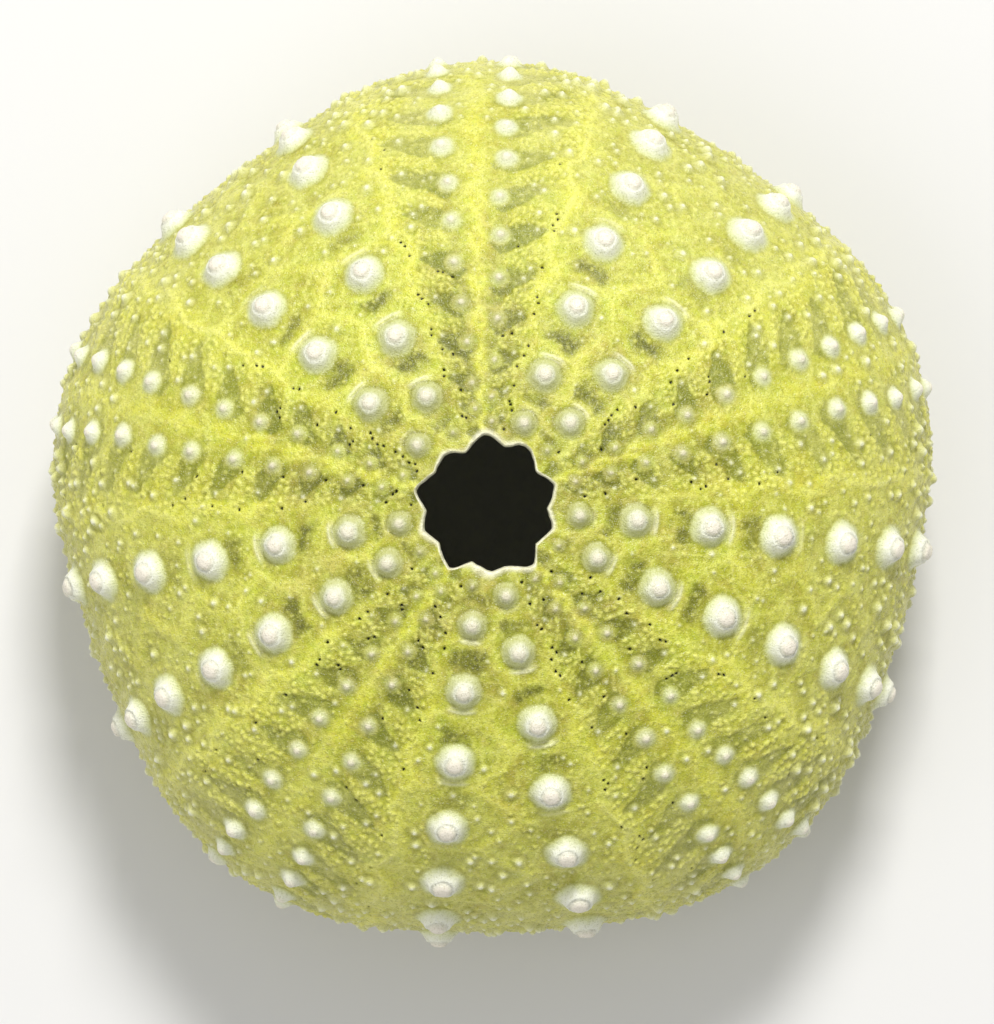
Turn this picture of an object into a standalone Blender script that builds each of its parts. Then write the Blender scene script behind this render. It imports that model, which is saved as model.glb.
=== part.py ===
"""Bare shell (test) of a regular sea urchin, hollow and open at both poles.

It stands mouth side down with its upper pole on +Z.  Every feature is placed by
an azimuth and by its arc: the distance walked down the outer skin from the pole.
Five pairs of narrow plate columns (ambulacra) alternate with five pairs of wide
ones (interambulacra), and each plate carries one tubercle grown out of the wall.
"""
import math

import bmesh
import bpy
import numpy as np
from mathutils import Vector, geometry

MM = 0.001

# Outer skin, mm
RADIUS = 25.0           # pole axis to the widest girth, mean of the five-fold outline
CROWN = 15.0            # widest girth up to the pole
KEEL = 10.5             # widest girth down to the underside
KEEL_POWER = 2.25       # 2 is an ellipse, more is a squarer underside
MOUTH_LIFT = 0.9        # how far the underside is drawn up around the mouth
FIVE_FOLD = 0.0264      # share of the radius by which the outline swells at the ambulacra

# Wall and openings, mm
WALL = 1.3
RIM_WALL = 0.6          # thinner at the broken upper edge
HOLE_NOTCH = 4.18       # upper opening, at the outward points
HOLE_LOBE = 0.72        # how far the rounded lobes between them reach in
MOUTH = 8.6             # mouth opening
GILL_NOTCH = 0.4        # ten shallow notches in its edge

# Azimuths, degrees
FIRST_AMBULACRUM = 20.5
PERIOD = 72.0
WIDE_COLUMN = 9.9       # large tubercles, off the middle of an interambulacrum
NARROW_COLUMN = 4.9     # small tubercles, off the middle of an ambulacrum
ADRADIAL = 19.0         # seam between the two, off the middle of an interambulacrum
FIRST_SIDE = (1, 1, -1, 1, 1)   # side on which each interambulacrum starts its plates

# Arc of each tubercle down one column, mm; the twin column sits half a step lower
WIDE_ARCS = (5.1, 8.3, 12.65, 17.05, 21.4, 25.5, 29.4, 33.2, 36.9, 40.5, 43.9, 47.1)
NARROW_ARCS = (5.85, 7.75, 10.0, 12.35, 14.8, 17.3, 19.8, 22.3, 24.75, 27.2,
               29.65, 32.1, 34.5, 36.85, 39.15, 41.4, 43.6, 45.7, 47.7)
WIDE_SHIFT = (-0.25, 0.5, -0.4, 0.1, 0.1)       # how far each sector's plates sit down the skin
NARROW_SHIFT = (0.15, -0.65, 0.15, -0.6, 0.0)
SHIFT_ARC = (4.0, 7.5, 32.0, 38.0)              # the shifts set in and die out along these arcs

# Foot radius of the tubercles along the arc, mm
FOOT_ARC = (5.0, 8.0, 13.0, 24.0, 34.0, 42.0, 50.0)
WIDE_FOOT = (0.72, 0.97, 1.15, 1.27, 1.22, 1.02, 0.70)
NARROW_FOOT = (0.42, 0.47, 0.55, 0.68, 0.66, 0.56, 0.42)

# Tubercle outline: width as a share of the foot, height as a share of the foot radius
WIDE_STEPS = ((0.60, 0.45), (0.34, 0.76))
NARROW_STEPS = ((0.50, 0.70),)
WIDE_SIDES = 6
NARROW_SIDES = 5

# Mesh spacing
COLUMNS = 50            # around each opening and around the lining
SKIN_ROW = 4.0          # mm between the rows that carry the skin between tubercles
LINING_ROWS = 9
CLEARANCE = 0.45        # mm kept between those rows and a tubercle foot
WEAR = 0.1              # mm worn off the lowest tubercle tips, flat at z = 0


def trace_meridian():
    """Outer skin from the pole to under the mouth, as arc, radius and height."""
    crown = np.linspace(0.0, math.pi / 2, 900)
    keel = np.linspace(math.pi / 2, math.pi - 0.05, 900)[1:]
    power = 2.0 / KEEL_POWER
    keel_radius = RADIUS * np.sin(keel) ** power
    drawn_up = np.clip((0.62 * RADIUS - keel_radius) / (0.62 * RADIUS - MOUTH), 0.0, 2.0)
    keel_height = -KEEL * np.abs(np.cos(keel)) ** power + MOUTH_LIFT * drawn_up ** 2
    radius = np.concatenate([RADIUS * np.sin(crown), keel_radius])
    height = np.concatenate([CROWN * np.cos(crown), keel_height])
    steps = np.hypot(np.diff(radius), np.diff(height))
    return np.concatenate([[0.0], np.cumsum(steps)]), radius, height


ARC, ARC_RADIUS, ARC_HEIGHT = trace_meridian()


def arc_at_radius(radius, below):
    """Arc of the skin at a radius, above or below the widest girth."""
    girth = int(np.argmax(ARC_RADIUS))
    if below:
        return float(np.interp(-radius, -ARC_RADIUS[girth:], ARC[girth:]))
    return float(np.interp(radius, ARC_RADIUS[:girth], ARC[:girth]))


def skin(azimuth, arc, depth=0.0):
    """Point of the skin, or that far under it, in mm."""
    radius = float(np.interp(arc, ARC, ARC_RADIUS))
    height = float(np.interp(arc, ARC, ARC_HEIGHT))
    run = np.interp([arc - 0.05, arc + 0.05], ARC, ARC_RADIUS)
    drop = np.interp([arc - 0.05, arc + 0.05], ARC, ARC_HEIGHT)
    slope = math.atan2(float(drop[0] - drop[1]), float(run[1] - run[0]))
    swell = FIVE_FOLD * (radius / RADIUS) ** 2
    swell *= math.cos(math.radians(5.0 * (azimuth - FIRST_AMBULACRUM)))
    radius = radius * (1.0 + swell) - depth * math.sin(slope)
    height -= depth * math.cos(slope)
    angle = math.radians(azimuth)
    return Vector((radius * math.cos(angle), radius * math.sin(angle), height))


def outward(azimuth, arc):
    """Direction straight out of the skin."""
    return (skin(azimuth, arc, -0.5) - skin(azimuth, arc, 0.5)).normalized()


def hole_arc(azimuth):
    """Scalloped edge of the upper opening: ten points with rounded lobes between."""
    lobe = abs(math.sin(math.radians(5.0 * (azimuth - FIRST_AMBULACRUM))))
    return arc_at_radius(HOLE_NOTCH - HOLE_LOBE * lobe, below=False)


def mouth_arc(azimuth):
    """Edge of the mouth, notched on both sides of each interambulacrum."""
    notch = 0.5 - 0.5 * math.cos(math.radians(10.0 * (azimuth - FIRST_AMBULACRUM)))
    return arc_at_radius(MOUTH + GILL_NOTCH * notch, below=True)


def wall_at(arc):
    """Wall thickness, tapering to the broken upper edge."""
    return float(np.interp(arc, [3.0, 9.0], [RIM_WALL, WALL]))


def half_steps(arcs):
    """Arcs of the twin column, midway between the plates of the first."""
    twin = [(upper + lower) / 2 for upper, lower in zip(arcs, arcs[1:])]
    return twin + [arcs[-1] + (arcs[-1] - arcs[-2]) / 2]


def shifted(arc, shift):
    """Arc of a tubercle in a sector whose plates sit a little up or down the skin."""
    return arc + shift * float(np.interp(arc, SHIFT_ARC, (0.0, 1.0, 1.0, 0.0)))


def sector_tubercles(index):
    """Tubercles of one sector, as offset from its middle, arc, foot, sides, steps."""
    tubercles = []
    edge = PERIOD / 2 - NARROW_COLUMN
    side, shift = FIRST_SIDE[index], WIDE_SHIFT[index]
    before, after = NARROW_SHIFT[index], NARROW_SHIFT[(index + 1) % 5]
    wide = (WIDE_FOOT, WIDE_SIDES, WIDE_STEPS)
    narrow = (NARROW_FOOT, NARROW_SIDES, NARROW_STEPS)
    columns = (
        (side * WIDE_COLUMN, WIDE_ARCS, shift, wide),
        (-side * WIDE_COLUMN, half_steps(WIDE_ARCS), shift, wide),
        (-edge, NARROW_ARCS, before, narrow),
        (edge, half_steps(NARROW_ARCS), after, narrow),
    )
    for offset, arcs, slide, (feet, sides, steps) in columns:
        for arc in arcs:
            foot = float(np.interp(arc, FOOT_ARC, feet))
            tubercles.append((offset, shifted(arc, slide), foot, sides, steps))
    return tubercles


def spread(offset, arc):
    """Lay an offset in degrees and an arc out flat, in mm."""
    return Vector((math.radians(offset) * float(np.interp(arc, ARC, ARC_RADIUS)), arc))


def gather(point):
    """Offset in degrees and arc of a point laid out flat."""
    return math.degrees(point.x / float(np.interp(point.y, ARC, ARC_RADIUS))), point.y


def sector_border(middle):
    """Outline of one sector laid out flat: hole edge, seam, mouth edge, seam."""
    half = PERIOD / 2
    offsets = np.linspace(-half, half, COLUMNS // 5 + 1)
    top = [spread(o, hole_arc(middle + o)) for o in offsets]
    bottom = [spread(o, mouth_arc(middle + o)) for o in offsets]
    rows = int((bottom[0].y - top[0].y) / SKIN_ROW)
    seam_arcs = np.linspace(top[0].y, bottom[0].y, rows + 1)[1:-1]
    right = [spread(half, arc) for arc in seam_arcs]
    left = [spread(-half, arc) for arc in seam_arcs]
    return top + right + bottom[::-1] + left[::-1], seam_arcs


def foot_ring(tubercle):
    """Corners of a tubercle foot laid out flat."""
    offset, arc, foot, sides, _ = tubercle
    centre = spread(offset, arc)
    turns = [2 * math.pi * (i + 0.5) / sides for i in range(sides)]
    return [centre + Vector((math.cos(t), math.sin(t))) * foot for t in turns]


def carrier_points(tubercles, arcs):
    """Points on the plate seams that keep the skin round between the tubercles."""
    points = []
    for offset in (-ADRADIAL, 0.0, ADRADIAL):
        for arc in arcs:
            point = spread(offset, arc)
            gaps = [(point - spread(t[0], t[1])).length - t[2] for t in tubercles]
            if min(gaps) > CLEARANCE:
                points.append(point)
    return points


def raise_tubercle(bm, ring, azimuth, arc, foot, steps):
    """Grow a tubercle out of its foot ring, one ring of faces for each step."""
    centre = skin(azimuth, arc) * MM
    axis = outward(azimuth, arc)
    face = bm.faces.new(ring)
    for width, height in steps:
        face = bmesh.ops.extrude_discrete_faces(bm, faces=[face])["faces"][0]
        for vert, corner in zip(face.verts, [v.co.copy() for v in face.verts]):
            base = corner - axis * (corner - centre).dot(axis)
            reach = (base - centre).normalized() * foot * MM
            vert.co = centre + reach * width + axis * foot * height * MM


def add_sector(bm, index):
    """Skin and tubercles of one fifth of the shell, seam to seam."""
    middle = FIRST_AMBULACRUM + PERIOD * (index + 0.5)
    tubercles = sector_tubercles(index)
    border, arcs = sector_border(middle)
    points = list(border)
    faces = [list(range(len(border)))]
    for tubercle in tubercles:
        faces.append(list(range(len(points), len(points) + tubercle[3])))
        points += foot_ring(tubercle)
    points += carrier_points(tubercles, arcs)
    flat, _, triangles, _, _, owners = geometry.delaunay_2d_cdt(
        points, [], faces, 1, 1e-5, True)
    verts = []
    for point in flat:
        offset, arc = gather(point)
        verts.append(bm.verts.new(skin(middle + offset, arc) * MM))
    for triangle, owner in zip(triangles, owners):
        if owner == [0]:
            bm.faces.new([verts[i] for i in triangle])
    for tubercle, corners in zip(tubercles, faces[1:]):
        offset, arc, foot, _, steps = tubercle
        nearest = [min(range(len(flat)), key=lambda i: (flat[i] - points[c]).length)
                   for c in corners]
        raise_tubercle(bm, [verts[i] for i in nearest], middle + offset, arc, foot, steps)


def add_lining(bm):
    """Smooth inner face of the wall, rolled up from a flat grid."""
    made = bmesh.ops.create_grid(bm, x_segments=COLUMNS, y_segments=LINING_ROWS, size=0.5)
    for vert in made["verts"]:
        azimuth = FIRST_AMBULACRUM + 360.0 * (vert.co.x + 0.5)
        top = hole_arc(azimuth)
        arc = top + (mouth_arc(azimuth) - top) * (vert.co.y + 0.5)
        vert.co = skin(azimuth, arc, wall_at(arc)) * MM
    return made["verts"]


def rims(bm):
    """Open edges of the skin and of the lining, upper pair and lower pair."""
    edges = [edge for edge in bm.edges if edge.is_boundary]
    heights = [(edge.verts[0].co.z + edge.verts[1].co.z) / 2 for edge in edges]
    upper = [edge for edge, height in zip(edges, heights) if height > 0]
    lower = [edge for edge, height in zip(edges, heights) if height <= 0]
    return upper, lower


def stand_on_tips(bm):
    """Set the shell on z = 0 with its lowest tips worn flat."""
    floor = min(vert.co.z for vert in bm.verts) + WEAR * MM
    for vert in bm.verts:
        vert.co.z = max(vert.co.z - floor, 0.0)


def calcite():
    """Yellow-green shell material."""
    material = bpy.data.materials.new("calcite")
    material.use_nodes = True
    shader = material.node_tree.nodes["Principled BSDF"]
    shader.inputs["Base Color"].default_value = (0.56, 0.58, 0.13, 1.0)
    shader.inputs["Roughness"].default_value = 0.55
    return material


def build():
    """Make the shell and put it in its own collection."""
    for old in list(bpy.data.objects):
        bpy.data.objects.remove(old, do_unlink=True)
    bm = bmesh.new()
    for index in range(5):
        add_sector(bm, index)
    add_lining(bm)
    bmesh.ops.remove_doubles(bm, verts=bm.verts, dist=1e-6)
    for edges in rims(bm):
        bmesh.ops.bridge_loops(bm, edges=edges)
    stand_on_tips(bm)
    bmesh.ops.triangulate(bm, faces=bm.faces)
    bmesh.ops.recalc_face_normals(bm, faces=bm.faces)
    mesh = bpy.data.meshes.new("shell")
    bm.to_mesh(mesh)
    bm.free()
    mesh.materials.append(calcite())
    collection = bpy.data.collections.new("cake_urchin_shell")
    bpy.context.scene.collection.children.link(collection)
    collection.objects.link(bpy.data.objects.new("shell", mesh))


build()
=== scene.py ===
"""Looks of a bare sea urchin shell: relief, markings, floor, light and camera.

The whole skin is laid in rows round the pole axis: down the outside, round the
mouth edge, back up the lining and round the edge of the upper hole.  Each point has
an azimuth in degrees and an arc in mm, the distance walked down the skin from the
pole.  Tubercles, granules and pores are stamped on the rows as real relief, and the
same stamps write the masks that the shell's material reads.
"""
import math

import bpy
import numpy as np
from mathutils import Matrix, Vector


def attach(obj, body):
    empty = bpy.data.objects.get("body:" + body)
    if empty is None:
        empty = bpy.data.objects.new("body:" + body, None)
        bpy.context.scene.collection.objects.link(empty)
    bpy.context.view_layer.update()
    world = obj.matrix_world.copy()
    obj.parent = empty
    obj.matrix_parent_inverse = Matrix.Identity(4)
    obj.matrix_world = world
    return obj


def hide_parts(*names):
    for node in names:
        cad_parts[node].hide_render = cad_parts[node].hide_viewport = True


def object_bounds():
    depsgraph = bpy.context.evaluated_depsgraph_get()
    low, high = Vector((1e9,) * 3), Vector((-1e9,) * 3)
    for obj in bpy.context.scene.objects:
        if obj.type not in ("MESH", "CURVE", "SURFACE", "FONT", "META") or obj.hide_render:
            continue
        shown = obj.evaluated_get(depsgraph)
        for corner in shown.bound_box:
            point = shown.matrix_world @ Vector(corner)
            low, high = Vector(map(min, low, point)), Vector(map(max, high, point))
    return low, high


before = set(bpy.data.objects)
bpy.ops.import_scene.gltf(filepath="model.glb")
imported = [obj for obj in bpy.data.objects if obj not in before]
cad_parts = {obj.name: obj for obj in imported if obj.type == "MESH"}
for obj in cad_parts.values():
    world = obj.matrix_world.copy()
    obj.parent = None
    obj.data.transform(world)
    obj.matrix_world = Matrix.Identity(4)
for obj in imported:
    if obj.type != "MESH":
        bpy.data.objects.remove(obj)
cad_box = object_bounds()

MM = 0.001
rng = np.random.default_rng(20)

# Outer skin, mm, as in the solid
RADIUS = 25.0
CROWN = 15.0
KEEL = 10.5
KEEL_POWER = 2.25
MOUTH_LIFT = 0.9
FIVE_FOLD = 0.0264
WALL = 1.3
RIM_WALL = 0.6
HOLE_NOTCH = 4.18
HOLE_TURNS = (18, 36, 58, 74, 92, 112, 131, 148, 168, 184, 201, 216, 238, 254, 274, 286, 308,
              322, 341, 357)
HOLE_EDGE = (3.95, 3.4, 4.1, 3.55, 4.1, 3.28, 3.8, 3.53, 4.15, 3.5, 3.9, 3.48, 4.15, 3.27, 3.75,
             3.53, 4.2, 3.48, 3.88, 3.42)
MOUTH = 8.6
GILL_NOTCH = 0.4

# Azimuths, degrees
FIRST_AMBULACRUM = 20.5
PERIOD = 72.0
WIDE_COLUMN = 9.9
NARROW_COLUMN = 4.9
ADRADIAL = 17.0
FIRST_SIDE = np.array([1, 1, -1, 1, 1])
WIDE_ZIGZAG = 2.8
NARROW_ZIGZAG = 1.1

# Arcs of the plate centres down one column, mm; the twin column is half a step off
WIDE_ARCS = np.array([2.1, 5.1, 8.3, 12.65, 17.05, 21.4, 25.5, 29.4, 33.2, 36.9, 40.5, 43.9,
                      47.1, 50.1, 52.9, 55.5])
NARROW_ARCS = np.array([2.4, 4.1, 5.85, 7.75, 10.0, 12.35, 14.8, 17.3, 19.8, 22.3, 24.75, 27.2,
                        29.65, 32.1, 34.5, 36.85, 39.15, 41.4, 43.6, 45.7, 47.7, 49.6,
                        51.5, 53.3, 55.0])
WIDE_SHIFT = np.array([-0.25, 0.5, -0.4, 0.1, 0.1])
NARROW_SHIFT = np.array([0.15, -0.65, 0.15, -0.6, 0.0])
SHIFT_ARC = (4.0, 7.5, 32.0, 38.0)
SHIFT_SHARE = (0.0, 1.0, 1.0, 0.0)
PLATE_HEAD = 0.62       # share of a wide plate that lies above its tubercle
NARROW_SLOPE = 0.45     # narrow plates run down towards the ambitus this steeply

# Tubercle feet along the arc, mm
FOOT_ARC = (5.0, 8.0, 13.0, 24.0, 34.0, 42.0, 50.0)
WIDE_FOOT = (0.72, 0.97, 1.15, 1.27, 1.22, 1.02, 0.70)
NARROW_FOOT = (0.42, 0.48, 0.60, 0.75, 0.73, 0.60, 0.44)
SMALL_FOOT = (0.28, 0.30, 0.35, 0.46, 0.53, 0.50, 0.37)

# Mesh spacing, mm
FINE = 0.1              # upper side
COARSE = 0.142          # underside
LINING = 0.5
EDGES = 0.22            # round the mouth edge, and on the lining near both openings
FINE_ARC = 31.0
COARSE_ARC = 36.0

# How far the rounded edge of each opening stands past its line, mm
MOUTH_BULGE = 0.25
HOLE_BULGE = 0.07


def trace_meridian():
    """Outer skin from the pole to under the mouth, as arc, radius and height."""
    crown = np.linspace(0.0, math.pi / 2, 900)
    keel = np.linspace(math.pi / 2, math.pi - 0.05, 900)[1:]
    power = 2.0 / KEEL_POWER
    keel_radius = RADIUS * np.sin(keel) ** power
    drawn_up = np.clip((0.62 * RADIUS - keel_radius) / (0.62 * RADIUS - MOUTH), 0.0, 2.0)
    keel_height = -KEEL * np.abs(np.cos(keel)) ** power + MOUTH_LIFT * drawn_up ** 2
    radius = np.concatenate([RADIUS * np.sin(crown), keel_radius])
    height = np.concatenate([CROWN * np.cos(crown), keel_height])
    steps = np.hypot(np.diff(radius), np.diff(height))
    return np.concatenate([[0.0], np.cumsum(steps)]), radius, height


ARC, ARC_RADIUS, ARC_HEIGHT = trace_meridian()
ARC_RUN = np.gradient(ARC_RADIUS, ARC)
ARC_DROP = -np.gradient(ARC_HEIGHT, ARC)
GIRTH = int(np.argmax(ARC_RADIUS))


def radius_at(arc):
    return np.interp(arc, ARC, ARC_RADIUS)


def skin(azimuth, arc, lift):
    """Points on the outer skin, raised along its normal, in mm."""
    angle = np.radians(azimuth)
    turn = np.radians(5.0 * (azimuth - FIRST_AMBULACRUM))
    radius = radius_at(arc)
    swell = FIVE_FOLD * (radius / RADIUS) ** 2
    run = np.interp(arc, ARC, ARC_RUN)
    drop = np.interp(arc, ARC, ARC_DROP)
    sideways = 5.0 * swell * np.sin(turn) * drop
    scale = lift / np.sqrt(run ** 2 + drop ** 2 + sideways ** 2)
    out = radius * (1.0 + swell * np.cos(turn)) + drop * scale
    side = sideways * scale
    return np.stack([out * np.cos(angle) - side * np.sin(angle),
                     out * np.sin(angle) + side * np.cos(angle),
                     np.interp(arc, ARC, ARC_HEIGHT) + run * scale], axis=1)


def noise(points, cell, seed):
    """Smooth value noise from 0 to 1 with cells of that size."""
    table = np.random.default_rng(seed).random(4096)
    place = points / cell
    corner = np.floor(place).astype(np.int64)
    part = place - corner
    part = part * part * (3.0 - 2.0 * part)
    total = np.zeros(len(points))
    for dx in (0, 1):
        for dy in (0, 1):
            for dz in (0, 1):
                x, y, z = corner[:, 0] + dx, corner[:, 1] + dy, corner[:, 2] + dz
                key = (x * 73856093) ^ (y * 19349663) ^ (z * 83492791)
                weight = np.abs(1 - dx - part[:, 0]) * np.abs(1 - dy - part[:, 1])
                total += table[key & 4095] * weight * np.abs(1 - dz - part[:, 2])
    return total


def ring_noise(azimuth, waves, seed):
    """Noise from -1 to 1 that closes on itself round the axis."""
    angle = np.radians(azimuth)
    circle = np.stack([np.cos(angle), np.sin(angle), np.zeros(len(azimuth))], axis=1)
    return 2.0 * noise(circle * waves / (2 * math.pi) + 7.3, 1.0, seed) - 1.0


def window(value, low, high, soft):
    """1 between low and high, fading over soft on both sides."""
    rise = np.clip((value - low) / soft + 0.5, 0.0, 1.0)
    fall = np.clip((high - value) / soft + 0.5, 0.0, 1.0)
    return rise * rise * (3 - 2 * rise) * fall * fall * (3 - 2 * fall)


def hole_arc(azimuth):
    """Edge of the upper opening: ten blunt notches with rounded lobes between, uneven."""
    turns = np.array(HOLE_TURNS + (HOLE_TURNS[0] + 360,), dtype=float)
    edges = np.array(HOLE_EDGE + (HOLE_EDGE[0],))
    turned = np.mod(azimuth - turns[0], 360.0) + turns[0]
    upper = np.clip(np.searchsorted(turns, turned, side="right"), 1, len(turns) - 1)
    share = (turned - turns[upper - 1]) / (turns[upper] - turns[upper - 1])
    share = 0.5 * share + 0.25 - 0.25 * np.cos(np.pi * share)
    edge = edges[upper - 1] * (1 - share) + edges[upper] * share
    edge = edge + 0.07 * ring_noise(azimuth, 34, 3) + 0.04 * ring_noise(azimuth, 80, 4)
    return np.interp(edge, ARC_RADIUS[:GIRTH], ARC[:GIRTH])


def mouth_arc(azimuth):
    """Edge of the mouth, notched on both sides of each interambulacrum."""
    notch = 0.5 - 0.5 * np.cos(np.radians(10.0 * (azimuth - FIRST_AMBULACRUM)))
    edge = MOUTH + GILL_NOTCH * notch ** 2 + 0.04 * ring_noise(azimuth, 60, 5)
    return np.interp(-edge, -ARC_RADIUS[GIRTH:], ARC[GIRTH:])


def wall_at(arc):
    return np.interp(arc, [3.0, 9.0], [RIM_WALL, WALL])


HOLE_MEAN = 3.75        # arc of the first outer row
MOUTH_MEAN = float(np.interp(-MOUTH - 0.15, -ARC_RADIUS[GIRTH:], ARC[GIRTH:]))
EDGE_REACH = 2.5        # mm over which the rows straighten out from a wavy edge


class Rows:
    """All points of the shell, row after row, each row a closed ring of points."""

    def __init__(self):
        arcs = [HOLE_MEAN]
        while arcs[-1] < MOUTH_MEAN:
            arcs.append(arcs[-1] + np.interp(arcs[-1], [FINE_ARC, COARSE_ARC], [FINE, COARSE]))
        self.outer = np.array(arcs) * (MOUTH_MEAN / arcs[-1])
        self.outer[0] = HOLE_MEAN
        azimuths, depths, ways = [], [], []
        for arc in self.outer:
            gap = np.interp(arc, [FINE_ARC, COARSE_ARC], [FINE, COARSE])
            azimuths.append(self.ring(arc, gap))
            ways.append(self.outside(azimuths[-1], arc))
            depths.append(np.zeros(len(azimuths[-1])))
        self.last_outer = len(self.outer)
        # Round the mouth edge
        for share in (0.12, 0.35, 0.65, 0.88):
            azimuths.append(self.ring(MOUTH_MEAN, EDGES))
            ways.append(mouth_arc(azimuths[-1]) + MOUTH_BULGE * math.sin(math.pi * share))
            depths.append(WALL * share * np.ones(len(azimuths[-1])))
        # Back up the lining
        steps = int((MOUTH_MEAN - HOLE_MEAN) / LINING)
        for share in np.linspace(1.0, 0.0, steps):
            nominal = HOLE_MEAN + (MOUTH_MEAN - HOLE_MEAN) * share
            azimuths.append(self.ring(nominal, LINING if 5.0 < nominal < 50.0 else EDGES))
            ways.append(self.outside(azimuths[-1], nominal))
            depths.append(wall_at(ways[-1]))
        # Round the edge of the upper hole
        for share in (0.85, 0.6, 0.35, 0.12):
            azimuths.append(self.ring(HOLE_MEAN, FINE))
            ways.append(hole_arc(azimuths[-1]) - HOLE_BULGE * math.sin(math.pi * share))
            depths.append(wall_at(ways[-1]) * share)
        self.sizes = np.array([len(ring) for ring in azimuths])
        self.starts = np.concatenate([[0], np.cumsum(self.sizes)])[:-1]
        self.azimuth = np.concatenate(azimuths)
        self.arc = np.concatenate(ways)
        self.depth = np.concatenate(depths)
        self.row = np.repeat(np.arange(len(self.sizes)), self.sizes)
        self.outer_points = int(self.starts[self.last_outer])

    def ring(self, arc, gap):
        """Azimuths of an even ring, the same number of points in each fifth."""
        fifth = max(12, round(2 * math.pi / 5 * float(radius_at(arc)) / gap))
        return FIRST_AMBULACRUM + PERIOD * np.arange(5 * fifth) / fifth

    def outside(self, azimuth, arc):
        """Arc of a row's points: straight, but following the edge near an opening."""
        near_hole = np.clip(1 - (arc - HOLE_MEAN) / EDGE_REACH, 0, 1) ** 2
        near_mouth = np.clip(1 - (MOUTH_MEAN - arc) / EDGE_REACH, 0, 1) ** 2
        shift = near_hole * (hole_arc(azimuth) - HOLE_MEAN)
        return arc + shift + near_mouth * (mouth_arc(azimuth) - MOUTH_MEAN)

    def near(self, azimuth, arc, reach):
        """Outer points within reach of a place: their numbers, and mm across and down."""
        # Near the openings the rows bend, so the search goes further
        slack = 0.5 if arc < 9.0 or arc > 47.0 else 0.05
        first = np.searchsorted(self.outer, arc - reach - slack)
        last = np.searchsorted(self.outer, arc + reach + slack)
        rows = np.arange(first, last)
        if len(rows) == 0:
            return rows, rows * 0.0, rows * 0.0
        size = self.sizes[rows][:, None]
        radius = radius_at(self.outer[rows])[:, None]
        middle = (azimuth - FIRST_AMBULACRUM) / 360.0 * size
        half = int(np.max(reach / radius / (2 * math.pi) * size)) + 1
        column = np.round(middle).astype(int) + np.arange(-half, half + 1)[None, :]
        found = self.starts[rows][:, None] + column % size
        across = (column - middle) / size * 2 * math.pi * radius
        found, across = found.ravel(), across.ravel()
        down = self.arc[found] - arc
        keep = across ** 2 + down ** 2 < reach * reach
        return found[keep], across[keep], down[keep]

    def nearest(self, azimuth, arc):
        """Numbers of the outer points nearest to many places."""
        rows = np.clip(np.searchsorted(self.outer, arc), 0, self.last_outer - 1)
        size = self.sizes[rows]
        column = np.round((azimuth - FIRST_AMBULACRUM) / 360.0 * size).astype(int) % size
        return self.starts[rows] + column

    def faces(self):
        """Triangles between neighbouring rows, for one fifth, as row and column pairs."""
        made = []
        rows = len(self.sizes)
        for upper in range(rows):
            lower = (upper + 1) % rows
            top, low = self.sizes[upper] // 5, self.sizes[lower] // 5
            i, j = np.arange(top), np.arange(low)
            low_done = -((top - (2 * i + 1) * low) // (2 * top))
            top_done = ((2 * j + 1) * top + low) // (2 * low)
            first = np.stack([i, low_done, i + 1], axis=1)
            second = np.stack([top_done, j, j + 1], axis=1)
            made.append((upper, lower, first, second))
        return made


rows = Rows()
count = len(rows.azimuth)
outer = slice(0, rows.outer_points)
azimuth, arc = rows.azimuth[outer], rows.arc[outer]
radius = radius_at(arc)
ground = skin(azimuth, arc, np.zeros(len(arc)))
lift = np.zeros(len(arc))
busy = np.zeros(len(arc))
MASKS = ("skirt", "crest", "mamelon", "patch", "sage", "band", "line", "grain", "pore", "knob",
         "foot_shade", "groove_shade", "lip", "narrow", "low", "top", "raised", "crevice_shade")
masks = {name: np.zeros(len(arc)) for name in MASKS}

# Place of each point among the plates
along = np.mod(azimuth - FIRST_AMBULACRUM, PERIOD)
fifth = np.minimum((np.mod(azimuth - FIRST_AMBULACRUM, 360.0) / PERIOD).astype(int), 4)
side = FIRST_SIDE[fifth]
wide_offset = along - PERIOD / 2
narrow_offset = np.where(along > PERIOD / 2, along - PERIOD, along)
broad_ripple = 2.0 * noise(ground, 2.3, 13) - 1.0
ripple = 2.0 * noise(ground, 0.9, 11) - 1.0
ripple_fine = 2.0 * noise(ground, 0.3, 12) - 1.0
nearest_ambulacrum = np.where(along > PERIOD / 2, (fifth + 1) % 5, fifth)


def settled(place, shift):
    """Undo a sector's shift: the arc that a point would have among unshifted plates."""
    return place - shift * np.interp(place, SHIFT_ARC, SHIFT_SHARE)


def shifted(place, shift):
    """Arc of a tubercle in a sector whose plates sit a little up or down the skin."""
    return place + shift * float(np.interp(place, SHIFT_ARC, SHIFT_SHARE))


wide_arc = settled(arc, WIDE_SHIFT[fifth])


def mm_across(degrees):
    return np.radians(degrees) * radius


def triangle_wave(turns):
    """1 at whole turns, -1 halfway between."""
    return 4.0 * np.abs(np.mod(turns, 1.0) - 0.5) - 1.0


def adradial_distance():
    """Distance in mm from the scalloped seam between narrow and wide plates."""
    swing = triangle_wave(np.interp(wide_arc, WIDE_ARCS, np.arange(len(WIDE_ARCS))) + 0.12
                          + np.where(wide_offset * side > 0, 0.0, 0.5))
    beats = np.interp(arc, NARROW_ARCS, np.arange(len(NARROW_ARCS)))
    wave = 0.30 * swing + 0.10 * np.sin(2 * math.pi * beats)
    grown = np.interp(arc, [5.0, 15.0], [0.4, 1.0])
    wave = wave + 0.3 * ripple + 0.25 * broad_ripple
    return mm_across(np.abs(narrow_offset) - ADRADIAL) + grown * wave, swing


to_adradial, adradial_swing = adradial_distance()
wide_zone = np.clip(0.5 + to_adradial / 0.7, 0.0, 1.0)


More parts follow.
